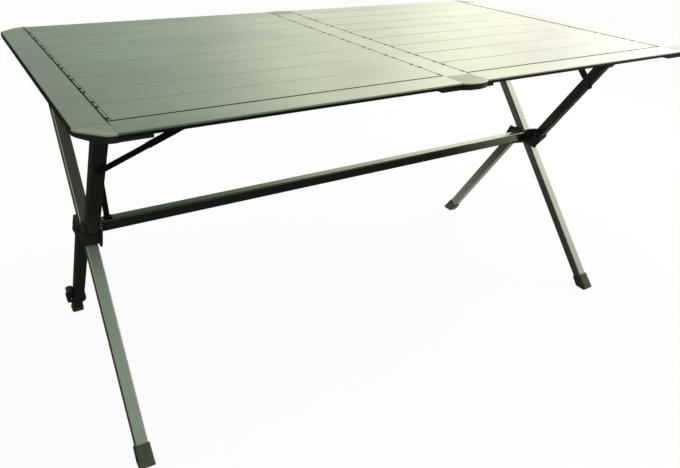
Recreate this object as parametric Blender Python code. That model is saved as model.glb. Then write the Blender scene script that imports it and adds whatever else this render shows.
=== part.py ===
"""A folding camping table with a slatted metal top on two crossed leg frames.

Each end frame is one long leg and two half legs that fold against it on an offset hub.
A stretcher ties the hubs, knee struts steady the top, and one foot slides out to level it.
Metres, +Z up, the floor at z = 0, X along the table and Y from its front to its rear.
"""
import math

import bmesh
import bpy
from mathutils import Matrix, Vector
from mathutils.geometry import convex_hull_2d

# Whole table
TABLE_LENGTH = 1.400
TABLE_DEPTH = 0.800
TABLE_HEIGHT = 0.715

# Clearances
SEAT_GAP = 0.0003
SEAM = 0.0006
SLIDE_GAP = 0.0004
FOLD_PLAY = 0.0006

# Top
TOP_THICKNESS = 0.0070
SKIN = 0.0016
RAIL_WIDTH = 0.059
END_STRIP_WIDTH = 0.052
END_NOSE_DEPTH = 0.010
CENTRE_STRIP_WIDTH = 0.060
SLATS_PER_HALF = 8
SLAT_WALL = 0.0016
SLAT_LIP = 0.005
SEAM_CHAMFER = 0.0006
LEDGE_WIDTH = 0.014
NOSE_RADIUS = 0.003

# Corner pieces and centre connectors
CORNER_DEPTH = 0.048
CORNER_CHAMFER = 0.040
CORNER_ROUNDING = 0.007
CORNER_THICKNESS = 0.0125
CORNER_LIFT = 0.0036
CORNER_LIFT_WIDTH = 0.022
TAB_THICKNESS = 0.0052
TAB_WIDTH = 0.024
CORNER_TAB_REACH = 0.048
STRIP_TAB_REACH = 0.030
CONNECTOR_DEPTH = 0.050
CONNECTOR_BULGE = 0.007
CONNECTOR_THICKNESS = 0.0135
CONNECTOR_TAB_REACH_LEFT = 0.049
CONNECTOR_TAB_REACH_RIGHT = 0.016

# Legs, in the plane of each end frame
TUBE = 0.0245
TUBE_WALL = 0.0015
TUBE_RADIUS = 0.0025
FOOT_X = 0.660
FOOT_Y = 0.3045
LEG_LEAN = math.radians(2.0)
FRONT_BAR_Y = -0.246
REAR_BAR_Y = 0.266

# Folding hub
HUB_DROP = 0.336
PIVOT_OFFSET = 0.049
PIVOT_STAGGER = 0.0165
LOBE_RADIUS = 0.0205
HUB_BAND = 0.0175
HUB_BAND_OVERLAP = 0.014
HUB_TOE_Y = -0.0535
HUB_TOE_Z = -0.0195
SLIM_LOBE_RADIUS = 0.0150
SLIM_TOE_Y = -0.0375
WINDOW_REACH = 0.0255
WINDOW_LENGTH = 0.0134
WINDOW_SHIFT = -0.004
CHEEK = 0.0048
PIVOT_PIN_RADIUS = 0.004
PIVOT_HEAD_RADIUS = 0.0068
PIVOT_HEAD_HEIGHT = 0.0028
KNUCKLE_LENGTH = 0.030
SOCKET_WALL = 0.003
SOCKET_LENGTH = 0.009

# Stretcher and stays
STRETCHER_RISE = 0.007
STAY_FOOT_X = 0.605
STAY_HEAD_X = 0.563
STAY_HEAD_DROP = 0.025
STAY_WIDTH = 0.012
STAY_THICKNESS = 0.003
STAY_FOOT_LENGTH = 0.016
STAY_PAD_HEIGHT = 0.018

# Leg heads
HEAD_WALL = 0.003
HEAD_SLEEVE = 0.026
HEAD_FLOOR = 0.032

# Knee struts
STRUT_PIN_DROP = 0.130
STRUT_RUN_LENGTH = 0.165
STRUT_WIDTH = 0.012
STRUT_THICKNESS = 0.004
STRUT_SLEEVE_WIDTH = 0.0148
STRUT_SLEEVE_SHARE = 0.46
CATCH_WIDTH = 0.016
CATCH_THICKNESS = 0.003
CATCH_DROP = 0.012
STRUT_PIN_HEAD_RADIUS = 0.0052
STRUT_PIN_HEAD_HEIGHT = 0.0022

# Feet
FOOT_CAP_WALL = 0.0024
FOOT_CAP_LENGTH = 0.040
FOOT_CAP_FLARE = 1.06
FOOT_CAP_TOE = 0.006
FOOT_CAP_FLOOR = 0.018

# Levelling foot
INNER_TUBE = 0.0208
INNER_TUBE_WALL = 0.0015
INNER_TUBE_LENGTH = 0.163
LEVEL_CAP_LENGTH = 0.027
LEVEL_CAP_FLOOR = 0.013
NECK_LENGTH = 0.044
COLLAR_LENGTH = 0.036
COLLAR_WALL = 0.003
COLLAR_BULGE = 0.004
COLLAR_BELLY = 0.36
COLLAR_FLANGE = 0.003
EAR_THICKNESS = 0.004
LEVER_WIDTH = 0.017
LEVER_PIN_RADIUS = 0.0022
LEVER_CAM_RADIUS = 0.0056
LEVER_LENGTH = 0.044
LEVER_THICKNESS = 0.0108
LEVER_CURL = 0.0015
LEVER_COLLAR_GAP = 0.0025
LEVER_TUBE_GAP = 0.0012

# Rounding
CORNER_STEPS = 2
ARC_STEPS = 8
PIN_SIDES = 14
EDGE_BREAK = 0.0012

# Finishes: sRGB colour, roughness, metallic
FINISHES = {
    "anodised_slat": ("9DA995", 0.38, 0.75),
    "anodised_edge": ("A3AE9A", 0.36, 0.75),
    "anodised_leg": ("7B8371", 0.34, 0.80),
    "anodised_stretcher": ("6C7867", 0.34, 0.80),
    "moulded_grey": ("A5A695", 0.55, 0.0),
    "moulded_black": ("15181A", 0.48, 0.0),
    "moulded_green_black": ("1B2A20", 0.42, 0.0),
    "moulded_olive": ("3F4632", 0.60, 0.0),
    "enamelled_black": ("0E1010", 0.35, 0.3),
    "plated_steel": ("8C8F8C", 0.30, 1.0),
}

AXIS_X = Vector((1, 0, 0))
AXIS_Y = Vector((0, 1, 0))
AXIS_Z = Vector((0, 0, 1))
LEFT = -1
RIGHT = 1
FRONT = -1
REAR = 1
SIDE_NAMES = {LEFT: "left", RIGHT: "right"}
END_NAMES = {FRONT: "front", REAR: "rear"}

# Sizes that follow from the driving ones
HALF_LENGTH = TABLE_LENGTH / 2
HALF_DEPTH = TABLE_DEPTH / 2
HALF_TUBE = TUBE / 2
UNDERSIDE = TABLE_HEIGHT - TOP_THICKNESS
HUB_HEIGHT = TABLE_HEIGHT - HUB_DROP
STRETCHER_HEIGHT = HUB_HEIGHT + STRETCHER_RISE
STAY_HEAD_HEIGHT = TABLE_HEIGHT - STAY_HEAD_DROP
STRUT_PIN_HEIGHT = TABLE_HEIGHT - STRUT_PIN_DROP
RAIL_SEAM_Y = HALF_DEPTH - RAIL_WIDTH
STRIP_SEAM_X = HALF_LENGTH - END_STRIP_WIDTH
CENTRE_SEAM_X = CENTRE_STRIP_WIDTH / 2
SLAT_PITCH = 2 * RAIL_SEAM_Y / SLATS_PER_HALF
SLAT_WIDTH = SLAT_PITCH - SEAM
PANEL_START = CENTRE_SEAM_X + SEAM / 2
PANEL_LENGTH = STRIP_SEAM_X - CENTRE_SEAM_X - SEAM
LEDGE_TOP = TABLE_HEIGHT - SKIN - SEAT_GAP
SIDE_BAR_TOP = UNDERSIDE - SEAT_GAP
SIDE_BAR_HEIGHT = SIDE_BAR_TOP - HALF_TUBE
FOLD_AXIS_HEIGHT = TABLE_HEIGHT + 0.0005
BAR_Y = {-1: FRONT_BAR_Y, 1: REAR_BAR_Y}
BORE = TUBE - 2 * TUBE_WALL
POCKET = TUBE + 2 * SEAT_GAP


def linear(code):
    """An sRGB hex colour as linear red, green, blue and alpha."""
    values = [int(code[i:i + 2], 16) / 255 for i in (0, 2, 4)]
    return [v / 12.92 if v <= 0.04045 else ((v + 0.055) / 1.055) ** 2.4 for v in values] + [1.0]


def finish(name):
    """The named finish as a material, made once."""
    material = bpy.data.materials.get(name)
    if material is None:
        colour, roughness, metallic = FINISHES[name]
        material = bpy.data.materials.new(name)
        material.use_nodes = True
        shader = material.node_tree.nodes["Principled BSDF"]
        shader.inputs["Base Color"].default_value = linear(colour)
        shader.inputs["Roughness"].default_value = roughness
        shader.inputs["Metallic"].default_value = metallic
        material.diffuse_color = linear(colour)
    return material


def axes(origin, x_axis, y_axis, z_axis):
    """A matrix with the given origin and axes."""
    matrix = Matrix((x_axis, y_axis, z_axis)).transposed().to_4x4()
    matrix.translation = origin
    return matrix


ALONG_TABLE = axes((0, 0, 0), AXIS_Y, AXIS_Z, AXIS_X)
ACROSS_TABLE = axes((0, 0, 0), AXIS_Z, AXIS_X, AXIS_Y)


def empty(name, origin, parent=None):
    """An empty on a joint's axis, which carries what moves with it."""
    marker = bpy.data.objects.new(name, None)
    marker.empty_display_size = 0.03
    marker.location = origin
    bpy.context.collection.objects.link(marker)
    if parent is not None:
        bpy.context.view_layer.update()
        marker.parent = parent
        marker.matrix_parent_inverse = parent.matrix_world.inverted()
    return marker


def mesh_of(name, bm, smooth=True):
    """A finished mesh with its normals outwards."""
    bmesh.ops.recalc_face_normals(bm, faces=bm.faces)
    mesh = bpy.data.meshes.new(name)
    bm.to_mesh(mesh)
    bm.free()
    if smooth:
        mesh.shade_smooth()
        mesh.set_sharp_from_angle(angle=math.radians(32))
    return mesh


def place(name, mesh, finish_name, matrix=None, parent=None):
    """An object for one piece, placed and parented to the empty that carries it."""
    piece = bpy.data.objects.new(name, mesh)
    bpy.context.collection.objects.link(piece)
    if not mesh.materials:
        mesh.materials.append(finish(finish_name))
    piece.matrix_world = matrix if matrix is not None else Matrix()
    if parent is not None:
        bpy.context.view_layer.update()
        piece.parent = parent
        piece.matrix_parent_inverse = parent.matrix_world.inverted()
    return piece


def tool(name, bm, matrix=None):
    """A shape that only cuts or joins another."""
    shape = bpy.data.objects.new(name, mesh_of(name, bm, smooth=False))
    shape.matrix_world = matrix if matrix is not None else Matrix()
    shape.hide_render = True
    shape.display_type = "WIRE"
    bpy.context.collection.objects.link(shape)
    return shape


def combine(piece, operation, bm, matrix=None):
    """Cuts a shape from a piece, or joins it on."""
    shape = tool(f"{piece.name}_{operation.lower()}_{len(piece.modifiers)}", bm, matrix)
    modifier = piece.modifiers.new(operation.title(), "BOOLEAN")
    modifier.operation = operation
    modifier.solver = "EXACT"
    modifier.object = shape


def cut(piece, bm, matrix=None):
    combine(piece, "DIFFERENCE", bm, matrix)


def join(piece, bm, matrix=None):
    combine(piece, "UNION", bm, matrix)


def arc(centre, radius, start, end, steps):
    """Points on an arc, both ends included, angles in radians."""
    return [(centre[0] + radius * math.cos(start + (end - start) * i / steps),
             centre[1] + radius * math.sin(start + (end - start) * i / steps)) for i in range(steps + 1)]


def rounded_rectangle(width, height, radius, steps=CORNER_STEPS):
    """A rectangle about the origin with round corners, anticlockwise."""
    points = []
    for quarter, (sx, sy) in enumerate(((1, 1), (-1, 1), (-1, -1), (1, -1))):
        centre = (sx * (width / 2 - radius), sy * (height / 2 - radius))
        start = quarter * math.pi / 2
        points += arc(centre, radius, start, start + math.pi / 2, steps)
    return points


def prism(outline, low, high):
    """An outline in local XY, extruded along local Z from low to high."""
    bm = bmesh.new()
    face = bm.faces.new([bm.verts.new((u, v, low)) for u, v in outline])
    grown = bmesh.ops.extrude_face_region(bm, geom=[face])
    tops = [part for part in grown["geom"] if isinstance(part, bmesh.types.BMVert)]
    bmesh.ops.translate(bm, verts=tops, vec=(0, 0, high - low))
    bmesh.ops.recalc_face_normals(bm, faces=bm.faces)
    return bm


def box(low, high):
    """A box between two corners."""
    bm = bmesh.new()
    bmesh.ops.create_cube(bm, size=1)
    size = Vector(high) - Vector(low)
    bmesh.ops.scale(bm, vec=size, verts=bm.verts)
    bmesh.ops.translate(bm, vec=(Vector(low) + Vector(high)) / 2, verts=bm.verts)
    return bm


def cylinder(radius, low, high, sides=PIN_SIDES):
    """A round bar along local Z."""
    return prism(arc((0, 0), radius, 0, 2 * math.pi * (1 - 1 / sides), sides - 1), low, high)


def break_rims(bm, width, steps=1):
    """Bevels the rims of a prism's two end faces."""
    levels = [v.co.z for v in bm.verts]
    low, high = min(levels), max(levels)
    rims = [e for e in bm.edges
            if all(abs(v.co.z - low) < 1e-6 for v in e.verts) or all(abs(v.co.z - high) < 1e-6 for v in e.verts)]
    bmesh.ops.bevel(bm, geom=rims, offset=width, segments=steps, profile=0.5, affect="EDGES", material=-1)
    return bm


def lofted(sections):
    """A solid through rounded squares, each given as its level, size and corner radius."""
    bm = bmesh.new()
    loops = []
    for level, size, radius in sections:
        verts = [bm.verts.new((u, v, level)) for u, v in rounded_rectangle(size, size, radius)]
        loops.append([bm.edges.new((a, b)) for a, b in zip(verts, verts[1:] + verts[:1])])
        if level in (sections[0][0], sections[-1][0]):
            bm.faces.new(verts)
    for lower, upper in zip(loops, loops[1:]):
        bmesh.ops.bridge_loops(bm, edges=lower + upper)
    bmesh.ops.recalc_face_normals(bm, faces=bm.faces)
    return bm


def square_tube(size, wall, radius, low, high):
    """A hollow square tube along local Z, open at both ends."""
    bm = bmesh.new()
    outer = rounded_rectangle(size, size, radius)
    inner = rounded_rectangle(size - 2 * wall, size - 2 * wall, max(radius - wall, wall / 4))
    rings = []
    for outline in (outer, inner):
        verts = [bm.verts.new((u, v, low)) for u, v in outline]
        rings += [bm.edges.new((a, b)) for a, b in zip(verts, verts[1:] + verts[:1])]
    rim = bmesh.ops.bridge_loops(bm, edges=rings)["faces"]
    grown = bmesh.ops.extrude_face_region(bm, geom=rim)
    tops = [part for part in grown["geom"] if isinstance(part, bmesh.types.BMVert)]
    bmesh.ops.translate(bm, verts=tops, vec=(0, 0, high - low))
    return bm


def turned(profile):
    """A turned piece about local Z from a profile of radius and height, axis to axis."""
    bm = bmesh.new()
    verts = [bm.verts.new((radius, 0, height)) for radius, height in profile]
    edges = [bm.edges.new(pair) for pair in zip(verts, verts[1:])]
    bmesh.ops.spin(bm, geom=verts + edges, cent=(0, 0, 0), axis=(0, 0, 1), angle=2 * math.pi,
                   steps=PIN_SIDES, use_merge=True, use_duplicate=False)
    bmesh.ops.remove_doubles(bm, verts=bm.verts, dist=1e-6)
    return bm


def rivet(shank, head, head_height, low, high):
    """A rivet along local Z with a domed head past each end of its grip."""
    crown = head * 0.55
    return turned([
        (0, low - head_height), (crown, low - head_height), (head, low - head_height * 0.45), (head, low),
        (shank, low), (shank, high),
        (head, high), (head, high + head_height * 0.45), (crown, high + head_height), (0, high + head_height)])


# Top


def slat_mesh():
    """One slat: a skin on two lipped walls, which stop short where its ends lie on a ledge."""
    notch = LEDGE_WIDTH + SEAM
    across = [-SLAT_WIDTH / 2, -SLAT_WIDTH / 2 + SLAT_WALL, SLAT_WIDTH / 2 - SLAT_WALL, SLAT_WIDTH / 2]
    along = [0, notch, PANEL_LENGTH - notch, PANEL_LENGTH]
    skin_low = TABLE_HEIGHT - SKIN
    bm = bmesh.new()
    grid = [[bm.verts.new((x, y, skin_low)) for y in across] for x in along]
    cells = {}
    for i in range(len(along) - 1):
        for j in range(len(across) - 1):
            cells[i, j] = bm.faces.new((grid[i][j], grid[i][j + 1], grid[i + 1][j + 1], grid[i + 1][j]))
    grown = bmesh.ops.extrude_face_region(bm, geom=list(bm.faces), use_keep_orig=True)
    tops = [part for part in grown["geom"] if isinstance(part, bmesh.types.BMVert)]
    bmesh.ops.translate(bm, verts=tops, vec=(0, 0, SKIN))
    walls = [cells[1, 0], cells[1, 2]]
    for drop in (TOP_THICKNESS - SKIN - SLAT_WALL, SLAT_WALL):
        walls = bmesh.ops.extrude_discrete_faces(bm, faces=walls)["faces"]
        bmesh.ops.translate(bm, verts=[v for face in walls for v in face.verts], vec=(0, 0, -drop))
    bm.normal_update()
    inner = SLAT_WIDTH / 2 - SLAT_WALL
    lips = [face for face in bm.faces
            if all(abs(abs(v.co.y) - inner) < 1e-6 for v in face.verts)
            and max(v.co.z for v in face.verts) < UNDERSIDE + SLAT_WALL + 1e-6]
    for lip in bmesh.ops.extrude_discrete_faces(bm, faces=lips)["faces"]:
        inward = -math.copysign(SLAT_LIP, lip.verts[0].co.y)
        bmesh.ops.translate(bm, verts=lip.verts, vec=(0, inward, 0))
    edges = [e for e in bm.edges
             if all(abs(v.co.z - TABLE_HEIGHT) < 1e-6 and abs(abs(v.co.y) - SLAT_WIDTH / 2) < 1e-6
                    for v in e.verts)]
    bmesh.ops.bevel(bm, geom=edges, offset=SEAM_CHAMFER, segments=1, profile=0.5, affect="EDGES", material=-1)
    return mesh_of("slat", bm)


def add_slats(side, carrier):
    mesh = slat_mesh()
    start = PANEL_START if side == RIGHT else -PANEL_START - PANEL_LENGTH
    for row in range(SLATS_PER_HALF):
        y = -RAIL_SEAM_Y + SLAT_PITCH * (row + 0.5)
        place(f"slat_{SIDE_NAMES[side]}_{row + 1}", mesh, "anodised_slat", Matrix.Translation((start, y, 0)),
              carrier)


def edge_profile(width, nose_depth):
    """A channel section with a rounded outer nose, in from its outer edge at zero, below its top at zero."""
    wall = SLAT_WALL
    nose = [(NOSE_RADIUS - NOSE_RADIUS * math.cos(t), -NOSE_RADIUS + NOSE_RADIUS * math.sin(t))
            for t in (math.radians(a) for a in (0, 22.5, 45, 67.5, 90))]
    return nose + [
        (width - SEAM_CHAMFER, 0), (width, -SEAM_CHAMFER), (width, -TOP_THICKNESS),
        (width - wall - SLAT_LIP, -TOP_THICKNESS), (width - wall - SLAT_LIP, wall - TOP_THICKNESS),
        (width - wall, wall - TOP_THICKNESS), (width - wall, -SKIN), (NOSE_RADIUS, -SKIN),
        (NOSE_RADIUS, -nose_depth), (0, -nose_depth)]


def add_rails(side, carrier):
    """The front and rear rails of one half."""
    start = PANEL_START if side == RIGHT else -PANEL_START - PANEL_LENGTH
    for end in (FRONT, REAR):
        outline = [(end * (HALF_DEPTH - u), TABLE_HEIGHT + v)
                   for u, v in edge_profile(RAIL_WIDTH - SEAM / 2, TOP_THICKNESS)]
        bm = prism(outline, start, start + PANEL_LENGTH)
        place(f"{END_NAMES[end]}_rail_{SIDE_NAMES[side]}", mesh_of("rail", bm), "anodised_edge",
              ALONG_TABLE, carrier)


def ledge(low, high):
    """A ledge for slat ends, between two places along the table."""
    reach = RAIL_SEAM_Y - SEAM
    return box((low, -reach, UNDERSIDE), (high, reach, LEDGE_TOP))


def add_end_strip(side, carrier):
    """The strip across one end, with the ledge that the slat ends lie on."""
    half = HALF_DEPTH - CORNER_DEPTH - SEAM / 2
    outline = [(TABLE_HEIGHT + v, side * (HALF_LENGTH - u))
               for u, v in edge_profile(END_STRIP_WIDTH - SEAM / 2, END_NOSE_DEPTH)]
    piece = place(f"end_strip_{SIDE_NAMES[side]}", mesh_of("end_strip", prism(outline, -half, half)),
                  "anodised_edge", ACROSS_TABLE, carrier)
    inner = STRIP_SEAM_X - LEDGE_WIDTH
    outer = STRIP_SEAM_X + SEAM / 2 + SLAT_WALL / 2
    join(piece, ledge(*sorted((side * inner, side * outer))))


def add_centre_strip(carrier):
    """The strip between the halves, with a ledge on each side for the slats."""
    half_width = CENTRE_SEAM_X - SEAM / 2
    wall = SLAT_WALL
    inside = half_width - wall
    half = HALF_DEPTH - CONNECTOR_DEPTH - SEAM / 2
    section = [(-half_width, -TOP_THICKNESS), (-half_width, -SEAM_CHAMFER), (-half_width + SEAM_CHAMFER, 0),
               (half_width - SEAM_CHAMFER, 0), (half_width, -SEAM_CHAMFER), (half_width, -TOP_THICKNESS),
               (inside - SLAT_LIP, -TOP_THICKNESS), (inside - SLAT_LIP, wall - TOP_THICKNESS),
               (inside, wall - TOP_THICKNESS), (inside, -SKIN), (-inside, -SKIN),
               (-inside, wall - TOP_THICKNESS), (-inside + SLAT_LIP, wall - TOP_THICKNESS),
               (-inside + SLAT_LIP, -TOP_THICKNESS)]
    outline = [(TABLE_HEIGHT + v, u) for u, v in section]
    piece = place("centre_strip", mesh_of("centre_strip", prism(outline, -half, half)), "anodised_edge",
                  ACROSS_TABLE, carrier)
    for side in (LEFT, RIGHT):
        join(piece, ledge(*sorted((side * (CENTRE_SEAM_X + LEDGE_WIDTH), side * (half_width - wall / 2)))))


def tab(low_x, high_x, low_y, high_y):
    """A tongue that lies under a rail or strip."""
    top = UNDERSIDE - SEAT_GAP
    return box((low_x, low_y, top - TAB_THICKNESS), (high_x, high_y, top))


def add_corner(side, end, carrier):
    """A moulded corner with a cut outer corner, and a tongue under the rail and the strip beside it."""
    inner_x = STRIP_SEAM_X + SEAM / 2
    inner_y = HALF_DEPTH - CORNER_DEPTH + SEAM / 2
    cut_x = HALF_LENGTH - CORNER_CHAMFER * 0.95
    plan = [(inner_x, inner_y), (HALF_LENGTH, inner_y), (HALF_LENGTH, HALF_DEPTH - CORNER_CHAMFER),
            (cut_x, HALF_DEPTH), (inner_x, HALF_DEPTH)]
    bm = prism([(side * x, end * y) for x, y in plan], TABLE_HEIGHT - CORNER_THICKNESS, TABLE_HEIGHT)
    uprights = [e for e in bm.edges
                if abs(e.verts[0].co.z - e.verts[1].co.z) > CORNER_THICKNESS / 2
                and (abs(abs(e.verts[0].co.x) - cut_x) < 1e-6
                     or abs(abs(e.verts[0].co.y) - (HALF_DEPTH - CORNER_CHAMFER)) < 1e-6)]
    bmesh.ops.bevel(bm, geom=uprights, offset=CORNER_ROUNDING, segments=4, profile=0.5, affect="EDGES", material=-1)
    rims = [e for e in bm.edges
            if all(abs(v.co.z - TABLE_HEIGHT) < 1e-6 for v in e.verts)
            and not all(abs(abs(v.co.x) - inner_x) < 1e-6 for v in e.verts)
            and not all(abs(abs(v.co.y) - inner_y) < 1e-6 for v in e.verts)]
    bmesh.ops.bevel(bm, geom=rims, offset=EDGE_BREAK, segments=2, profile=0.5, affect="EDGES", material=-1)
    piece = place(f"corner_{END_NAMES[end]}_{SIDE_NAMES[side]}", mesh_of("corner", bm), "moulded_grey", None,
                  carrier)
    low = TABLE_HEIGHT - CORNER_THICKNESS
    rise = [(HALF_LENGTH - CORNER_LIFT_WIDTH, low - CORNER_LIFT), (HALF_LENGTH + CORNER_LIFT, low - CORNER_LIFT),
            (HALF_LENGTH + CORNER_LIFT, low + CORNER_LIFT * 1.16), (HALF_LENGTH - CORNER_LIFT_WIDTH, low)]
    cut(piece, prism([(z, side * x) for x, z in rise], -HALF_DEPTH - TUBE, HALF_DEPTH + TUBE), ACROSS_TABLE)
    front = HALF_DEPTH - EDGE_BREAK
    xs = sorted((side * (STRIP_SEAM_X - CORNER_TAB_REACH), side * (inner_x + EDGE_BREAK)))
    ys = sorted((end * (front - TAB_WIDTH), end * front))
    join(piece, tab(xs[0], xs[1], ys[0], ys[1]))
    middle = STRIP_SEAM_X + END_STRIP_WIDTH / 2
    xs = sorted((side * (middle - TAB_WIDTH / 2), side * (middle + TAB_WIDTH / 2)))
    ys = sorted((end * (inner_y + EDGE_BREAK), end * (inner_y - STRIP_TAB_REACH)))
    join(piece, tab(xs[0], xs[1], ys[0], ys[1]))


def add_connector(end, carrier):
    """A moulded block between the rails with a bowed face, and a tongue under each rail."""
    half_width = CENTRE_SEAM_X - SEAM / 2
    inner = HALF_DEPTH - CONNECTOR_DEPTH + SEAM / 2
    steps = 8
    bow = [(half_width * (1 - 2 * i / steps),
            HALF_DEPTH + CONNECTOR_BULGE * math.sin(math.pi * i / steps) ** 0.7) for i in range(steps + 1)]
    plan = [(-half_width, inner), (half_width, inner)] + bow
    bm = prism([(x, end * y) for x, y in plan], TABLE_HEIGHT - CONNECTOR_THICKNESS, TABLE_HEIGHT)
    rims = [e for e in bm.edges if all(abs(v.co.y) > HALF_DEPTH - 1e-6 for v in e.verts)
            and abs(e.verts[0].co.z - e.verts[1].co.z) < 1e-6]
    bmesh.ops.bevel(bm, geom=rims, offset=EDGE_BREAK * 2, segments=3, profile=0.5, affect="EDGES", material=-1)
    piece = place(f"connector_{END_NAMES[end]}", mesh_of("connector", bm), "moulded_grey", None, carrier)
    ys = sorted((end * (HALF_DEPTH - EDGE_BREAK - TAB_WIDTH), end * (HALF_DEPTH - EDGE_BREAK)))
    join(piece, tab(-CENTRE_SEAM_X - CONNECTOR_TAB_REACH_LEFT, CENTRE_SEAM_X + CONNECTOR_TAB_REACH_RIGHT, ys[0], ys[1]))


# End frames


class EndFrame:
    """The leaning plane of one end frame, with local X to the rear, local Y up the lean and local Z along +X."""

    def __init__(self, side):
        self.side = side
        up = Vector((-side * math.sin(LEG_LEAN), 0, math.cos(LEG_LEAN)))
        self.matrix = axes((side * FOOT_X, 0, 0), AXIS_Y, up, AXIS_Y.cross(up))
        self.normal = AXIS_Y.cross(up)
        rise = SIDE_BAR_HEIGHT / math.cos(LEG_LEAN)
        self.front_bar = Vector((FRONT_BAR_Y, rise))
        self.rear_bar = Vector((REAR_BAR_Y, rise))
        self.front_foot = Vector((-FOOT_Y, 0))
        self.rear_foot = Vector((FOOT_Y, 0))
        self.long_way = (self.rear_bar - self.front_foot).normalized()
        across = Vector((-self.long_way.y, self.long_way.x))
        hub_rise = HUB_HEIGHT / math.cos(LEG_LEAN)
        self.centre = self.front_foot + self.long_way * (hub_rise / self.long_way.y)
        shift = across * PIVOT_OFFSET - self.long_way * PIVOT_STAGGER
        self.upper_pivot = self.centre + shift
        self.lower_pivot = self.centre - shift
        self.upper_way = (self.front_bar - self.upper_pivot).normalized()
        self.lower_way = (self.rear_foot - self.lower_pivot).normalized()

    def point(self, flat, out=0.0):
        """A point of the frame's plane in the world."""
        return self.matrix @ Vector((flat.x, flat.y, out))

    def along(self, start, way):
        """Axes with local Z along a leg, local X across the frame's plane and local Y in it."""
        turn = self.matrix.to_3x3()
        lengthwise = turn @ Vector((way.x, way.y, 0))
        return axes(self.point(start), self.normal, lengthwise.cross(self.normal), lengthwise)


def leg_tube(low, high):
    return square_tube(TUBE, TUBE_WALL, TUBE_RADIUS, low, high)


def add_long_leg(frame, carrier):
    """The leg in one length, from the front foot to the rear side bar."""
    length = (frame.rear_bar - frame.front_foot).length
    bm = leg_tube(FOOT_CAP_FLOOR, length - HEAD_FLOOR)
    place(f"long_leg_{SIDE_NAMES[frame.side]}", mesh_of("long_leg", bm), "anodised_leg",
          frame.along(frame.front_foot, frame.long_way), carrier)


def half_leg_mesh(length):
    """A half leg from its pivot: a round solid knuckle, then a hollow tube."""
    half = HALF_TUBE
    outline = arc((0, 0), half, math.pi, 2 * math.pi, ARC_STEPS) + [(half, length), (-half, length)]
    bm = prism(outline, -half, half)
    corners = [e for e in bm.edges
               if abs(e.verts[0].co.z - e.verts[1].co.z) < 1e-6
               and not all(abs(v.co.y - length) < 1e-6 for v in e.verts)]
    bmesh.ops.bevel(bm, geom=corners, offset=TUBE_RADIUS * 0.8, segments=CORNER_STEPS, profile=0.5, affect="EDGES",
                    material=-1)
    turn = axes((0, 0, 0), AXIS_Y, AXIS_Z, AXIS_X)
    bmesh.ops.transform(bm, matrix=turn, verts=bm.verts)
    return mesh_of("half_leg", bm)


def add_half_leg(name, frame, pivot, way, length, carrier):
    matrix = frame.along(pivot, way)
    piece = place(name, half_leg_mesh(length), "anodised_leg", matrix, carrier)
    bore = prism(rounded_rectangle(BORE, BORE, TUBE_RADIUS / 2, 1), KNUCKLE_LENGTH, length + HALF_TUBE)
    cut(piece, bore, matrix)
    hole = cylinder(PIVOT_PIN_RADIUS + SEAT_GAP + FOLD_PLAY, -TUBE, TUBE)
    cut(piece, hole, frame.matrix @ Matrix.Translation((pivot.x, pivot.y, 0)))


def add_half_legs(frame, upper_carrier, lower_carrier):
    """The upper half leg to the front side bar, and the lower one to the rear foot."""
    side = SIDE_NAMES[frame.side]
    upper_length = (frame.front_bar - frame.upper_pivot).length - HEAD_FLOOR
    add_half_leg(f"upper_half_leg_{side}", frame, frame.upper_pivot, frame.upper_way, upper_length, upper_carrier)
    to_floor = (frame.rear_foot - frame.lower_pivot).length
    shorten = FOOT_CAP_FLOOR
    if frame.side == LEFT:
        shorten = LEVEL_CAP_LENGTH + NECK_LENGTH + COLLAR_FLANGE + SEAT_GAP
    add_half_leg(f"lower_half_leg_{side}", frame, frame.lower_pivot, frame.lower_way, to_floor - shorten,
                 lower_carrier)


def hub_halves(frame, lobe, toe):
    """The outlines of the hub's two halves: each a lobe with a toe, run into a level band at the centre."""
    for turn, pivot in ((1, frame.upper_pivot), (-1, frame.lower_pivot)):
        points = [Vector(p) for p in arc(pivot, lobe, 0, 2 * math.pi * (1 - 1 / 28), 27)]
        for y, z in ((toe, HUB_TOE_Z), (HUB_BAND_OVERLAP, -HUB_BAND), (HUB_BAND_OVERLAP / 2, HUB_BAND)):
            points.append(frame.centre + Vector((y, z)) * turn)
        yield [tuple(points[i]) for i in convex_hull_2d(points)]


def hub_window(frame, turn):
    """An opening between the long leg and a half leg's pivot."""
    across = Vector((-frame.long_way.y, frame.long_way.x)) * turn
    along = frame.long_way * turn
    corners = ((0, WINDOW_SHIFT - WINDOW_LENGTH / 2), (WINDOW_REACH, WINDOW_SHIFT - WINDOW_LENGTH * 0.3),
               (WINDOW_REACH, WINDOW_SHIFT + WINDOW_LENGTH * 0.3), (0, WINDOW_SHIFT + WINDOW_LENGTH / 2))
    return prism([tuple(frame.centre + across * n + along * d) for n, d in corners], -TUBE, TUBE)


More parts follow.
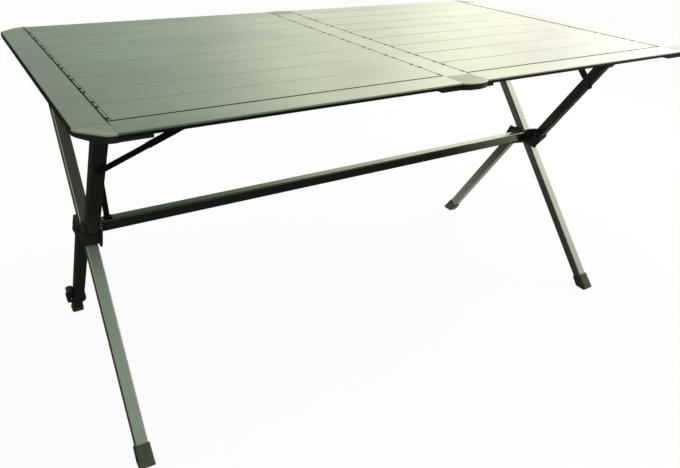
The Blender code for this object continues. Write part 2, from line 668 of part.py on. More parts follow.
def swing_pocket(pivot, rest, folded):
    """The room that a half leg sweeps from rest to folded, clockwise, with its stop face along the rest side."""
    half = HALF_TUBE + SEAT_GAP
    loose = half + FOLD_PLAY
    reach = 2.6 * LOBE_RADIUS
    start = math.atan2(rest.y, rest.x)
    end = math.atan2(folded.y, folded.x)
    while end > start:
        end -= 2 * math.pi
    stop_side = start + math.pi / 2
    far_side = end - math.pi / 2
    while far_side < stop_side:
        far_side += 2 * math.pi
    back = [Vector(p) for p in arc(pivot, loose, far_side - 2 * math.pi, stop_side - 2 * math.pi, ARC_STEPS)]
    mouth = [Vector(p) for p in arc(pivot, reach, start, end, ARC_STEPS)]
    lead = Vector((math.cos(stop_side), math.sin(stop_side)))
    trail = Vector((math.cos(far_side), math.sin(far_side)))
    step = pivot + rest * HALF_TUBE * 0.8
    outline = back + [step + lead * loose, step + lead * half, mouth[0] + lead * half]
    outline += mouth[1:-1] + [mouth[-1] + trail * loose]
    return prism([tuple(p) for p in outline[::-1]], -loose, loose)


def add_hub(frame, carrier):
    """The folding hub: a broad inner cheek and a slim outer body round both pivots, with the stretcher's socket."""
    thickness = HALF_TUBE + SEAT_GAP + CHEEK
    inward = -frame.side
    cheek = sorted((inward * (thickness - CHEEK), inward * thickness))
    body = sorted((inward * (thickness - CHEEK * 0.7), -inward * thickness))
    halves = [break_rims(prism(outline, *body), EDGE_BREAK)
              for outline in hub_halves(frame, SLIM_LOBE_RADIUS, SLIM_TOE_Y)]
    halves += [break_rims(prism(outline, *cheek), EDGE_BREAK)
               for outline in hub_halves(frame, LOBE_RADIUS, HUB_TOE_Y)]
    hub = place(f"hub_{SIDE_NAMES[frame.side]}", mesh_of("hub", halves[0]), "moulded_green_black", frame.matrix,
                carrier)
    for half in halves[1:]:
        join(hub, half, frame.matrix)
    hub_x = frame.point(frame.centre).x
    outer = TUBE + 2 * (SEAT_GAP + SOCKET_WALL)
    cheek_x = abs(hub_x) - thickness
    socket = prism([(y, z + STRETCHER_HEIGHT) for y, z in rounded_rectangle(outer, outer, SOCKET_WALL)],
                   *sorted((frame.side * (cheek_x - SOCKET_LENGTH), frame.side * (cheek_x + CHEEK / 2))))
    join(hub, socket, ALONG_TABLE)
    sleeve = prism(rounded_rectangle(POCKET, POCKET, TUBE_RADIUS / 2, 1), -LOBE_RADIUS * 4, LOBE_RADIUS * 4)
    cut(hub, sleeve, frame.along(frame.centre, frame.long_way))
    cut(hub, swing_pocket(frame.upper_pivot, frame.upper_way, frame.long_way), frame.matrix)
    cut(hub, swing_pocket(frame.lower_pivot, frame.lower_way, -frame.long_way), frame.matrix)
    for turn in (-1, 1):
        cut(hub, hub_window(frame, turn), frame.matrix)
    for pivot in (frame.upper_pivot, frame.lower_pivot):
        hole = cylinder(PIVOT_PIN_RADIUS + SEAT_GAP, -TUBE, TUBE)
        cut(hub, hole, frame.matrix @ Matrix.Translation((pivot.x, pivot.y, 0)))
    recess = prism([(y, z + STRETCHER_HEIGHT) for y, z in rounded_rectangle(POCKET, POCKET, TUBE_RADIUS / 2, 1)],
                   *sorted((frame.side * (cheek_x - 2 * SOCKET_LENGTH), frame.side * (cheek_x - EDGE_BREAK))))
    cut(hub, recess, ALONG_TABLE)


def stretcher_end(frame):
    """How far from the middle the stretcher reaches, seated in the hub's socket."""
    thickness = HALF_TUBE + SEAT_GAP + CHEEK
    return abs(frame.point(frame.centre).x) - thickness - EDGE_BREAK - SEAT_GAP


def add_stretcher(frame, carrier):
    """The tube that ties the two hubs."""
    reach = stretcher_end(frame)
    bm = leg_tube(-reach, reach)
    place("stretcher", mesh_of("stretcher", bm), "anodised_stretcher",
          Matrix.Translation((0, 0, STRETCHER_HEIGHT)) @ ALONG_TABLE, carrier)


def strut_pin_point(frame, end):
    """Where a knee strut is pinned on its leg, in the frame's plane, and the leg's way up there."""
    start, way = (frame.upper_pivot, frame.upper_way) if end == FRONT else (frame.front_foot, frame.long_way)
    rise = STRUT_PIN_HEIGHT / math.cos(LEG_LEAN)
    return start + way * ((rise - start.y) / way.y), way


def strut_axes(frame, end):
    """Axes at a strut's pin: local X inwards, local Y up the leg and local Z out of the leg's lower face."""
    flat, way = strut_pin_point(frame, end)
    turn = frame.matrix.to_3x3()
    up = (turn @ Vector((way.x, way.y, 0))).normalized()
    inward = -frame.side * frame.normal
    out = inward.cross(up)
    facing = Vector((0, end, -1)).dot(out)
    if facing < 0:
        out = -out
    origin = frame.point(flat) + out * HALF_TUBE
    return origin, inward, up, out


def strut_axes_matrix(frame, end):
    """The same axes as a matrix, and whether its local X runs inwards or outwards."""
    origin, inward, up, out = strut_axes(frame, end)
    sign = 1 if inward.cross(up).dot(out) > 0 else -1
    return axes(origin, inward * sign, up, out), sign


def strut_rise(frame, end, level):
    """How far up the leg from the pin a point of the strut's far end lies that has the given height."""
    origin, inward, up, out = strut_axes(frame, end)
    return (level - origin.z - STRUT_RUN_LENGTH * inward.z) / up.z


def add_strut(frame, end, carrier):
    """A knee strut: a flat bar riveted at its round end, with a wider sleeve to its other end."""
    matrix, sign = strut_axes_matrix(frame, end)
    rise = strut_rise(frame, end, SIDE_BAR_HEIGHT - HALF_TUBE - CATCH_DROP / 2)
    tip = Vector((sign * STRUT_RUN_LENGTH, rise))
    length = tip.length
    step = length * STRUT_SLEEVE_SHARE
    half = STRUT_WIDTH / 2
    wide = STRUT_SLEEVE_WIDTH / 2
    lean = Matrix.Rotation(math.atan2(tip.y, tip.x), 4, "Z")
    outline = arc((0, 0), half, math.pi / 2, 1.5 * math.pi, ARC_STEPS)
    outline += [(step, -half), (step, -wide)]
    outline += arc((length, 0), wide, -math.pi / 2, math.pi / 2, ARC_STEPS)
    outline += [(step, wide), (step, half)]
    bm = prism(outline, SEAT_GAP, SEAT_GAP + STRUT_THICKNESS)
    name = f"knee_strut_{END_NAMES[end]}_{SIDE_NAMES[frame.side]}"
    piece = place(name, mesh_of("knee_strut", bm), "enamelled_black", matrix @ lean, carrier)
    join(piece, strut_rivet_head(), matrix)


def catch_plate(frame, end):
    """The plate under a side bar that a strut's end bears on, and its place."""
    matrix, sign = strut_axes_matrix(frame, end)
    bottom = strut_rise(frame, end, SIDE_BAR_HEIGHT - HALF_TUBE - CATCH_DROP)
    top = strut_rise(frame, end, SIDE_BAR_HEIGHT - HALF_TUBE + TUBE_WALL * 0.9)
    middle = sign * STRUT_RUN_LENGTH
    return box((middle - CATCH_WIDTH / 2, bottom, -CATCH_THICKNESS),
               (middle + CATCH_WIDTH / 2, top, 0)), matrix


def side_bar_end(frame):
    """How far from the middle a side bar reaches, seated in the leg head."""
    return abs(head_x(frame)) + HALF_TUBE - TUBE_WALL


def head_x(frame):
    """Where a leg head is centred along the table."""
    return frame.point(frame.front_bar - Vector((0, HEAD_FLOOR))).x


def add_side_bar(end, frames, carrier):
    """The tube under the slats on which the top rests, with a catch for each strut."""
    reach = side_bar_end(frames[0])
    bm = leg_tube(-reach, reach)
    matrix = Matrix.Translation((0, BAR_Y[end], SIDE_BAR_HEIGHT)) @ ALONG_TABLE
    piece = place(f"{END_NAMES[end]}_side_bar", mesh_of("side_bar", bm), "anodised_leg", matrix, carrier)
    for frame in frames:
        plate, plate_matrix = catch_plate(frame, end)
        join(piece, plate, plate_matrix)


def add_leg_head(frame, end, carrier):
    """A moulded head: a cradle for the side bar over a sleeve on the leg."""
    bar = frame.front_bar if end == FRONT else frame.rear_bar
    way = frame.upper_way if end == FRONT else frame.long_way
    bar_yz = Vector((bar.x, SIDE_BAR_HEIGHT))
    down = Vector((way.x, way.y * math.cos(LEG_LEAN))).normalized()
    across = Vector((-down.y, down.x))
    half = HALF_TUBE + SEAT_GAP + HEAD_WALL
    points = [bar_yz + Vector((sy * half, dz)) for sy in (-1, 1) for dz in (-half, HALF_TUBE)]
    low = bar_yz - down * (HEAD_FLOOR + HEAD_SLEEVE)
    points += [low + across * half, low - across * half]
    outline = [tuple(points[i]) for i in convex_hull_2d(points)]
    middle = head_x(frame)
    bm = break_rims(prism(outline, middle - half, middle + half), EDGE_BREAK)
    head = place(f"leg_head_{END_NAMES[end]}_{SIDE_NAMES[frame.side]}", mesh_of("leg_head", bm), "moulded_black",
                 ALONG_TABLE, carrier)
    start = frame.upper_pivot if end == FRONT else frame.front_foot
    length = (bar - start).length - HEAD_FLOOR + SEAT_GAP
    leg = prism(rounded_rectangle(POCKET, POCKET, TUBE_RADIUS / 2, 1), length - 3 * HEAD_SLEEVE, length)
    cut(head, leg, frame.along(start, way))
    end_x = side_bar_end(frame) + SEAT_GAP
    span = sorted((frame.side * (abs(middle) - 2 * half), frame.side * end_x))
    low_z = SIDE_BAR_HEIGHT - HALF_TUBE - SEAT_GAP
    cradle = box((span[0], BAR_Y[end] - POCKET / 2, low_z), (span[1], BAR_Y[end] + POCKET / 2, TABLE_HEIGHT))
    cut(head, cradle)


def add_stay(frame, carrier):
    """A flat stay from a foot on the stretcher up to a pad on the rear side bar."""
    side = frame.side
    stretcher_top = STRETCHER_HEIGHT + HALF_TUBE + SEAT_GAP
    bar_face = REAR_BAR_Y - HALF_TUBE - SEAT_GAP
    start = Vector((side * STAY_FOOT_X, 0, stretcher_top + STAY_THICKNESS / 2))
    finish_point = Vector((side * STAY_HEAD_X, bar_face - STAY_THICKNESS / 2, STAY_HEAD_HEIGHT))
    way = finish_point - start
    lengthwise = way.normalized()
    thick = lengthwise.cross(AXIS_X).normalized()
    matrix = axes(start, thick.cross(lengthwise), thick, lengthwise)
    bar = prism(rounded_rectangle(STAY_WIDTH, STAY_THICKNESS, STAY_THICKNESS / 4, 1), 0, way.length)
    piece = place(f"stay_{SIDE_NAMES[side]}", mesh_of("stay", bar), "enamelled_black", matrix, carrier)
    foot_y = STAY_WIDTH * 0.5
    xs = sorted((side * (STAY_FOOT_X - STAY_FOOT_LENGTH * 0.62), side * (STAY_FOOT_X + STAY_FOOT_LENGTH * 0.38)))
    foot = box((xs[0], -foot_y, stretcher_top), (xs[1], foot_y, stretcher_top + STAY_THICKNESS))
    join(piece, foot)
    pad = box((side * STAY_HEAD_X - STAY_WIDTH * 0.7, bar_face - STAY_THICKNESS, STAY_HEAD_HEIGHT - STAY_PAD_HEIGHT / 2),
              (side * STAY_HEAD_X + STAY_WIDTH * 0.7, bar_face, STAY_HEAD_HEIGHT + STAY_PAD_HEIGHT / 2))
    join(piece, pad)


def foot_cap_solid(size, length, flare, matrix):
    """A flared cap on a leg's end, cut flat on the floor, in world coordinates."""
    low = -2 * size
    grow = 1 + (flare - 1) * (length - low) / length
    bm = lofted([(low, size * grow, size * 0.14), (length - size * 0.05, size, size * 0.14),
                 (length, size * 0.93, size * 0.12)])
    bmesh.ops.transform(bm, matrix=matrix, verts=bm.verts)
    leg_way = matrix.to_3x3() @ AXIS_Z
    for spot, normal in ((Vector(), AXIS_Z), (matrix.translation - leg_way * FOOT_CAP_TOE, leg_way)):
        sole = bmesh.ops.bisect_plane(bm, geom=bm.verts[:] + bm.edges[:] + bm.faces[:], plane_co=spot,
                                      plane_no=normal, clear_inner=True)
        rim = [part for part in sole["geom_cut"] if isinstance(part, bmesh.types.BMEdge)]
        bmesh.ops.contextual_create(bm, geom=rim)
    return bm


def add_foot_cap(name, foot_matrix, inner, wall, length, floor_level, carrier):
    """A moulded cap over a tube's end, its matrix at the floor with local Z up the leg."""
    size = inner + 2 * (SEAT_GAP + wall)
    bm = foot_cap_solid(size, length, FOOT_CAP_FLARE, foot_matrix)
    cap = place(name, mesh_of("foot_cap", bm), "moulded_olive", None, carrier)
    pocket_size = inner + 2 * SEAT_GAP
    pocket = prism(rounded_rectangle(pocket_size, pocket_size, TUBE_RADIUS / 2, 1), floor_level - SEAT_GAP,
                   length * 2)
    cut(cap, pocket, foot_matrix)


def add_level_leg(frame, slide_carrier, leg_carrier, lever_carrier):
    """The sliding inner tube with its foot cap, the clamp collar on the half leg, and the cam lever."""
    up = -frame.lower_way
    matrix = frame.along(frame.rear_foot, up)
    tube = square_tube(INNER_TUBE, INNER_TUBE_WALL, TUBE_RADIUS * 0.8, LEVEL_CAP_FLOOR,
                       LEVEL_CAP_FLOOR + INNER_TUBE_LENGTH)
    place("level_tube", mesh_of("level_tube", tube), "anodised_leg", matrix, slide_carrier)
    add_foot_cap("level_foot_cap", matrix, INNER_TUBE, FOOT_CAP_WALL, LEVEL_CAP_LENGTH, LEVEL_CAP_FLOOR,
                 slide_carrier)

    bottom = LEVEL_CAP_LENGTH + NECK_LENGTH
    top = bottom + COLLAR_LENGTH
    size = TUBE + 2 * (SEAT_GAP + COLLAR_WALL)
    belly = bottom + COLLAR_LENGTH * COLLAR_BELLY
    bm = lofted([(bottom, size * 0.96, size * 0.14), (belly, size + 2 * COLLAR_BULGE * 0.45, size * 0.2),
                 (belly + COLLAR_LENGTH * 0.16, size + COLLAR_BULGE * 0.7, size * 0.2),
                 (top - COLLAR_LENGTH * 0.2, size, size * 0.16), (top, size * 0.93, size * 0.14)])
    collar = place("clamp_collar", mesh_of("clamp_collar", bm), "moulded_black", matrix, leg_carrier)

    pin_x, pin_z = lever_pin_place()
    ear_low = LEVER_WIDTH / 2 + SLIDE_GAP
    profile = arc((pin_x, pin_z), LEVER_CAM_RADIUS, math.radians(100), math.radians(260), 8)
    profile += [(-size / 2 + COLLAR_WALL / 2, pin_z - LEVER_CAM_RADIUS * 1.6),
                (-size / 2 + COLLAR_WALL / 2, pin_z + LEVER_CAM_RADIUS * 1.6)]
    upright = matrix @ axes((0, 0, 0), AXIS_X, AXIS_Z, -AXIS_Y)
    for face in (-1, 1):
        span = sorted((face * ear_low, face * (ear_low + EAR_THICKNESS)))
        join(collar, prism(profile, span[0], span[1]), upright)
    pin = cylinder(LEVER_PIN_RADIUS, -ear_low - EAR_THICKNESS / 2, ear_low + EAR_THICKNESS / 2)
    join(collar, pin, upright @ Matrix.Translation((pin_x, pin_z, 0)))
    sleeve = prism(rounded_rectangle(POCKET, POCKET, TUBE_RADIUS / 2, 1), bottom + COLLAR_FLANGE, top + TUBE)
    cut(collar, sleeve, matrix)
    window = INNER_TUBE + 2 * SLIDE_GAP
    cut(collar, prism(rounded_rectangle(window, window, TUBE_RADIUS / 2, 1), bottom - TUBE, bottom + TUBE), matrix)

    add_lever(upright, lever_carrier)


def lever_pin_place():
    """The cam lever's pin, out from the leg's middle and up from the floor along the leg."""
    size = TUBE + 2 * (SEAT_GAP + COLLAR_WALL) + 2 * COLLAR_BULGE * 0.45
    belly = LEVEL_CAP_LENGTH + NECK_LENGTH + COLLAR_LENGTH * COLLAR_BELLY
    return -(size / 2 + SLIDE_GAP + LEVER_CAM_RADIUS), belly


def add_lever(upright, carrier):
    """A cam lever that lies up the leg when clamped, its head over the collar's top, with a bore for its pin."""
    pin_x, pin_z = lever_pin_place()
    steps = 6
    lean = LEVER_CAM_RADIUS * 0.85
    shoulder = COLLAR_LENGTH * (1 - COLLAR_BELLY) + LEVER_COLLAR_GAP
    head = -pin_x - HALF_TUBE - LEVER_TUBE_GAP
    inner = [(lean, LEVER_CAM_RADIUS * 0.62), (lean, shoulder), (head, shoulder + (head - lean) * 0.5),
             (head, LEVER_LENGTH)]
    outer = []
    for i in range(steps + 1):
        share = i / steps
        rise = LEVER_CAM_RADIUS * 0.4 + (LEVER_LENGTH - LEVER_CAM_RADIUS * 0.4) * share
        bow = LEVER_CURL * share * share
        outer.append((lean - LEVER_THICKNESS - bow + LEVER_CURL * math.sin(math.pi * share), rise))
    outer = [p for p in outer if math.hypot(*p) > LEVER_CAM_RADIUS]
    start = math.atan2(outer[0][1], outer[0][0])
    end = math.atan2(inner[0][1], inner[0][0]) + 2 * math.pi
    tip = Vector(inner[-1]) + Vector(outer[-1])
    crown = arc(tip / 2, (Vector(inner[-1]) - Vector(outer[-1])).length / 2, 0, math.pi, 6)[1:-1]
    cam = arc((0, 0), LEVER_CAM_RADIUS, start + 0.35, end - 0.35, 14)
    outline = cam + inner + crown + outer[::-1]
    bm = break_rims(prism(outline, -LEVER_WIDTH / 2, LEVER_WIDTH / 2), EDGE_BREAK * 0.7)
    matrix = upright @ Matrix.Translation((pin_x, pin_z, 0))
    lever = place("clamp_lever", mesh_of("clamp_lever", bm), "moulded_black", matrix, carrier)
    cut(lever, cylinder(LEVER_PIN_RADIUS + SEAT_GAP, -TUBE, TUBE), matrix)


def add_pivot_pins(frame, carrier):
    """The rivets that the two half legs turn on, through the hub's cheeks."""
    grip = HALF_TUBE + 2 * SEAT_GAP + CHEEK
    for level, pivot in (("upper", frame.upper_pivot), ("lower", frame.lower_pivot)):
        bm = rivet(PIVOT_PIN_RADIUS, PIVOT_HEAD_RADIUS, PIVOT_HEAD_HEIGHT, -grip, grip)
        place(f"pivot_pin_{level}_{SIDE_NAMES[frame.side]}", mesh_of("pivot_pin", bm), "plated_steel",
              frame.matrix @ Matrix.Translation((pivot.x, pivot.y, 0)), carrier)


def strut_rivet_head():
    """The domed head of a strut's rivet, rooted in the strut."""
    root = SEAT_GAP + STRUT_THICKNESS / 2
    top = SEAT_GAP + STRUT_THICKNESS
    head = STRUT_PIN_HEAD_RADIUS
    return turned([(0, root), (head, root), (head, top + STRUT_PIN_HEAD_HEIGHT * 0.45),
                   (head * 0.55, top + STRUT_PIN_HEAD_HEIGHT), (0, top + STRUT_PIN_HEAD_HEIGHT)])


def clear_scene():
    for item in list(bpy.data.objects):
        bpy.data.objects.remove(item, do_unlink=True)


def build():
    clear_scene()
    frames = [EndFrame(LEFT), EndFrame(RIGHT)]
    left, right = frames

    lift = empty("top_lift_axis", (0, 0, UNDERSIDE))
    fold = empty("top_fold_axis", (CENTRE_SEAM_X, 0, FOLD_AXIS_HEIGHT), lift)
    for side, carrier in ((LEFT, lift), (RIGHT, fold)):
        add_slats(side, carrier)
        add_rails(side, carrier)
        add_end_strip(side, carrier)
        for end in (FRONT, REAR):
            add_corner(side, end, carrier)
    add_centre_strip(lift)
    for end in (FRONT, REAR):
        add_connector(end, lift)

    base = empty("frame_base", (0, 0, 0))
    upper_axis = left.point(left.upper_pivot)
    front_fold = empty("front_fold_axis", (0, upper_axis.y, upper_axis.z), base)
    rear_folds = {frame.side: empty(f"rear_fold_axis_{SIDE_NAMES[frame.side]}", frame.point(frame.lower_pivot), base)
                  for frame in frames}
    for frame in frames:
        side = SIDE_NAMES[frame.side]
        add_long_leg(frame, base)
        add_half_legs(frame, front_fold, rear_folds[frame.side])
        add_hub(frame, base)
        add_pivot_pins(frame, base)
        add_leg_head(frame, FRONT, front_fold)
        add_leg_head(frame, REAR, base)
        add_foot_cap(f"foot_cap_front_{side}", frame.along(frame.front_foot, frame.long_way), TUBE, FOOT_CAP_WALL,
                     FOOT_CAP_LENGTH, FOOT_CAP_FLOOR, base)
        for end, carrier in ((FRONT, front_fold), (REAR, base)):
            pin = empty(f"strut_axis_{END_NAMES[end]}_{side}", strut_axes(frame, end)[0], carrier)
            add_strut(frame, end, pin)
    add_foot_cap("foot_cap_rear_right", right.along(right.rear_foot, -right.lower_way), TUBE, FOOT_CAP_WALL,
                 FOOT_CAP_LENGTH, FOOT_CAP_FLOOR, rear_folds[RIGHT])
    add_stretcher(left, base)
    add_stay(left, base)
    add_side_bar(FRONT, frames, front_fold)
    add_side_bar(REAR, frames, base)

    slide = empty("level_slide_axis", left.point(left.rear_foot), rear_folds[LEFT])
    level = left.along(left.rear_foot, -left.lower_way)
    pin_x, pin_z = lever_pin_place()
    lever_axis = empty("clamp_lever_axis", level @ Vector((pin_x, 0, pin_z)), rear_folds[LEFT])
    add_level_leg(left, slide, rear_folds[LEFT], lever_axis)


build()
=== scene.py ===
"""A folding camping table with a slatted top: its finishes, small fittings, light and camera."""

import math

import bmesh
import bpy
from mathutils import Euler, Matrix, Vector


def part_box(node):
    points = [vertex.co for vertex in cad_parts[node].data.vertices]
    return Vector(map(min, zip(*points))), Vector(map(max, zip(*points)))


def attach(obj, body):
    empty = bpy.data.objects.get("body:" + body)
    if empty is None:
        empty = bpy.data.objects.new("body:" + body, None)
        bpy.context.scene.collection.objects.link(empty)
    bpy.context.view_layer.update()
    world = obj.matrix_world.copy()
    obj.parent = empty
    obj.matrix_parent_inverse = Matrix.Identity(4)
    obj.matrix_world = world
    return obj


bl_info = {
    "name": "Camping table",
    "version": (1, 0, 0),
    "blender": (4, 5, 0),
    "location": "View3D > Sidebar > Camping table",
    "description": "Finishes, small fittings, light and camera for a folding camping table",
    "category": "Object",
}

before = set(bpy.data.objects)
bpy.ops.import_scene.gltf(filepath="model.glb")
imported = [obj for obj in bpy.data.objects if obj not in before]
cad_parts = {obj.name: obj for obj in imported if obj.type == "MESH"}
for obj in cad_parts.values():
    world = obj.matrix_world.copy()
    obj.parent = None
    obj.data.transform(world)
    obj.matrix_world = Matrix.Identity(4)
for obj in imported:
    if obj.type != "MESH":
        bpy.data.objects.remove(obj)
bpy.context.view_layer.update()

# The photograph's size, in pixels, and a camera's sensor, in millimetres
PHOTO_WIDTH = 680
SENSOR_WIDTH = 36.0

# Kinds of solids, by the words that their names start with
TOP_PLATES = ("slat_", "front_rail", "rear_rail")
TOP_STRIPS = ("end_strip", "centre_strip")
LONG_LEGS = ("long_leg",)
HALF_LEGS = ("upper_half_leg", "lower_half_leg", "level_tube")
SLATS_PER_HALF = 8

SLAT_LOW, SLAT_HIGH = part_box("slat_left_1")
TOP_HEIGHT = SLAT_HIGH.z
TOP_REACH = Vector((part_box("end_strip_right")[1].x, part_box("rear_rail_right")[1].y))

# The cut across each corner of the top takes this much off both sides
CORNER_CUT = 0.040
# How far in from the outline the painted shade on the top's outer walls starts to show, and shows
# in full
WALL_SHADE_START, WALL_SHADE_FULL = 0.0030, 0.0012
# How far a seam's trim reaches down into the top, and how thick an end clip is
STRIP_DEPTH = 0.0006
CLIP_DEPTH = 0.0012
# Corners of a clip's oval, and how much of its width its rounded rim takes
CLIP_CORNERS = 14
CLIP_SOFTENING = 0.14
# How far a leg tube leans along X, for each metre of height
LEG_LEAN = 0.035
# An edge sharper than this is drawn sharp, and points closer than this are one
SHARP_ANGLE = math.radians(35)
SAME_PLACE = 1e-6

# Colours that belong to one finish alone, as sRGB hex
# Painted shade for the sides of the corners and connectors
SHADED_SIDE_NYLON = "1F241D"
# Painted shade for the outer walls of the rails and end strips
OUTER_WALL_SHADE = "525E55"
SOLE_DUST = "6B6A58"
# Painted highlight for the rounded slat edges
SLAT_EDGE_HIGHLIGHT = "BFC5B3"
DARK_SEAM = "211F14"
CLIP_BLACK = "1D1B12"

# The room's light on the table, as linear colours, by the direction's X:
# 0 is full left and 1 full right
WALL_LIGHT = (
    (0.43, (0.03, 0.035, 0.03)), (0.50, (0.47, 0.57, 0.52)), (0.575, (0.61, 0.71, 0.65)),
    (0.62, (0.69, 0.80, 0.72)), (0.67, (0.88, 0.99, 0.86)), (0.75, (1.76, 1.78, 1.57)),
    (0.78, (1.68, 1.67, 1.47)), (0.81, (2.32, 2.22, 1.98)), (0.84, (2.64, 2.52, 2.28)),
    (0.88, (2.34, 2.17, 2.14)), (0.93, (3.60, 3.45, 3.50)),
)
# The light from high on the left, which the top mirrors when it is seen from the right
HIGH_LEFT_LIGHT = (0.80, 0.86, 0.78)
# The floor's light on the table where it is dark, and how much more where it is lit
FLOOR_DIM = 0.03
FLOOR_LIT = 0.70

# The lamps: name, place, width and height in metres, tint, and the setting that holds the power
LAMPS = (
    ("Soft box", (2.5, 0.1, 1.25), (3.6, 1.5), (1.0, 0.95, 0.87), "key_power"),
    ("Front lamp", (-1.6, -2.6, 0.6), (1.6, 1.0), (1.0, 1.0, 1.0), "front_power"),
    ("Ceiling lamp", (0.0, -0.4, 3.2), (2.4, 2.4), (1.0, 1.0, 1.0), "fill_power"),
)


def srgb(code):
    """An sRGB hex colour as linear red, green and blue."""
    parts = [int(code[i:i + 2], 16) / 255 for i in (0, 2, 4)]
    return tuple(v / 12.92 if v <= 0.04045 else ((v + 0.055) / 1.055) ** 2.4 for v in parts)


def size(name, description, default):
    """A length that a user may change, in metres."""
    return bpy.props.FloatProperty(
        name=name, description=description, default=default, min=0, unit="LENGTH", precision=4
    )


def angle(name, description, degrees):
    """An angle that a user may change."""
    return bpy.props.FloatProperty(
        name=name, description=description, default=math.radians(degrees), unit="ROTATION"
    )


def power(name, watts):
    """A lamp's power that a user may change."""
    return bpy.props.FloatProperty(
        name=name, description=f"Power of the {name.lower()}", default=watts, unit="POWER"
    )


def colour(name, description, code):
    """A colour that a user may change."""
    return bpy.props.FloatVectorProperty(
        name=name, description=description, default=srgb(code), min=0, max=1, subtype="COLOR"
    )


class TableFinishColours(bpy.types.PropertyGroup):
    """Colours of the table's finishes."""

    top: colour("Top", "Olive-grey anodising of the slats and strips", "A8B09C")
    legs: colour("Long legs", "Anodising of the long leg tubes", "999F94")
    half_legs: colour("Half legs", "Darker anodising of the leg tubes that fold", "7F8174")
    stretcher: colour("Stretcher", "Anodising of the tube between the hubs", "7E8776")
    corners: colour(
        "Corner pieces", "Grey-olive metallic paint of the corners and connectors", "A2AB98"
    )
    hubs: colour("Hubs", "Green-black of the moulded joints", "232B25")
    feet: colour("Feet", "Dark olive of the foot caps", "3F4632")
    paint: colour("Paint", "Black paint of the struts and the stay", "0E1010")
    pins: colour("Pins", "Zinc plating of the rivets and screws", "7D7F7C")


class TableFittingSizes(bpy.types.PropertyGroup):
    """Sizes of the small fittings."""

    edge_width: size(
        "Slat edge width", "Width of the two rounded edges at a seam between slats", 0.0036
    )
    seam_width: size("Rail seam width", "Width of the dark seam beside a rail", 0.0040)
    end_seam_width: size("End seam width", "Width of the dark seam beside an end strip", 0.0032)
    centre_seam_width: size(
        "Centre seam width", "Width of the dark seam beside the centre strip", 0.0018
    )
    stop_line_width: size("Stop line width", "Width of the fine line at the slats' stop", 0.0007)
    channel_width: size("Channel width", "From an end strip's seam to the slats' stop line", 0.0058)
    seam_rise: size("Seam rise", "How far a slat's rounded edge stands above the top", 0.0002)
    clip_length: size("Clip length", "Length of a slat's end clip along the seam", 0.0105)
    clip_width: size("Clip width", "Width of an outer end clip across the seam", 0.0050)
    centre_clip_width: size("Centre clip width", "Width of a clip beside the centre strip", 0.0080)
    clip_inset: size("Clip inset", "From a slat's edge to its end clip", 0.013)
    clip_rise: size("Clip rise", "How far a clip stands above the top", 0.0003)


class TableStageSizes(bpy.types.PropertyGroup):
    """The camera, the floor and the lamps."""

    camera_place: bpy.props.FloatVectorProperty(
        name="Camera", description="Where the camera stands",
        default=(-0.8334, -1.2342, 1.0107), unit="LENGTH",
    )
    camera_yaw: angle("Yaw", "Turn of the view from +Y towards +X", 33.28)
    camera_pitch: angle("Pitch", "How far the view looks down", 28.48)
    camera_roll: angle("Roll", "Tilt of the camera about its view", 2.462)
    focal_length: bpy.props.FloatProperty(
        name="Focal length in pixels", description="Focal length at the photograph's width",
        default=628.5,
    )
    floor_size: size("Floor", "Length of the floor's side", 16.0)
    key_power: power("Key lamp", 30.0)
    front_power: power("Front lamp", 26.0)
    fill_power: power("Fill lamp", 10.0)


def add(tree, kind, inputs=None, **properties):
    """One node with its settings, each input given a value or another node's output."""
    node = tree.nodes.new(kind)
    for name, value in properties.items():
        setattr(node, name, value)
    for name, value in (inputs or {}).items():
        if isinstance(value, bpy.types.NodeSocket):
            tree.links.new(value, node.inputs[name])
        else:
            node.inputs[name].default_value = value
    return node


def new_material(name):
    """An empty material and its output node."""
    material = bpy.data.materials.new(name)
    material.use_nodes = True
    tree = material.node_tree
    tree.nodes.clear()
    output = tree.nodes.new("ShaderNodeOutputMaterial")
    return material, tree, output


def principled(tree, output, inputs):
    """The finish's shader, joined to its material's output."""
    shader = add(tree, "ShaderNodeBsdfPrincipled", inputs)
    tree.links.new(shader.outputs["BSDF"], output.inputs["Surface"])


def place_on(tree):
    """The place of a point on its solid, in metres."""
    return add(tree, "ShaderNodeTexCoord").outputs["Object"]


def parts_of(tree, vector):
    """A vector's X, Y and Z."""
    return add(tree, "ShaderNodeSeparateXYZ", {"Vector": vector}).outputs


def maths(tree, operation, *terms):
    """The result of an operation on numbers and other nodes' outputs."""
    node = add(tree, "ShaderNodeMath", dict(enumerate(terms)), operation=operation)
    return node.outputs["Value"]


def product(tree, first, *others):
    """Several values multiplied."""
    for other in others:
        first = maths(tree, "MULTIPLY", first, other)
    return first


def part_of(tree, value, share):
    """1 less a share of a value."""
    return maths(tree, "MULTIPLY_ADD", value, -share, 1.0)


def spread(tree, value, low=0.0, high=1.0, to_low=0.0, to_high=1.0, **properties):
    """A value's range brought to another range."""
    inputs = {
        "Value": value, "From Min": low, "From Max": high, "To Min": to_low, "To Max": to_high
    }
    return add(tree, "ShaderNodeMapRange", inputs, **properties).outputs["Result"]


def smooth_step(tree, value, low, high):
    """A soft ramp from 0 to 1 while a value goes from low to high, or down to a lesser high."""
    return spread(tree, value, low, high, interpolation_type="SMOOTHSTEP")


def noise(tree, place, width, detail, roughness=0.5):
    """Soft noise whose broadest patches are about a given width across, in metres."""
    inputs = {"Vector": place, "Scale": 1 / width, "Detail": detail, "Roughness": roughness}
    return add(tree, "ShaderNodeTexNoise", inputs).outputs["Fac"]


def relief(tree, height, strength, depth):
    """The tilt that a fine relief gives a surface."""
    inputs = {"Height": height, "Strength": strength, "Distance": depth}
    return add(tree, "ShaderNodeBump", inputs).outputs["Normal"]


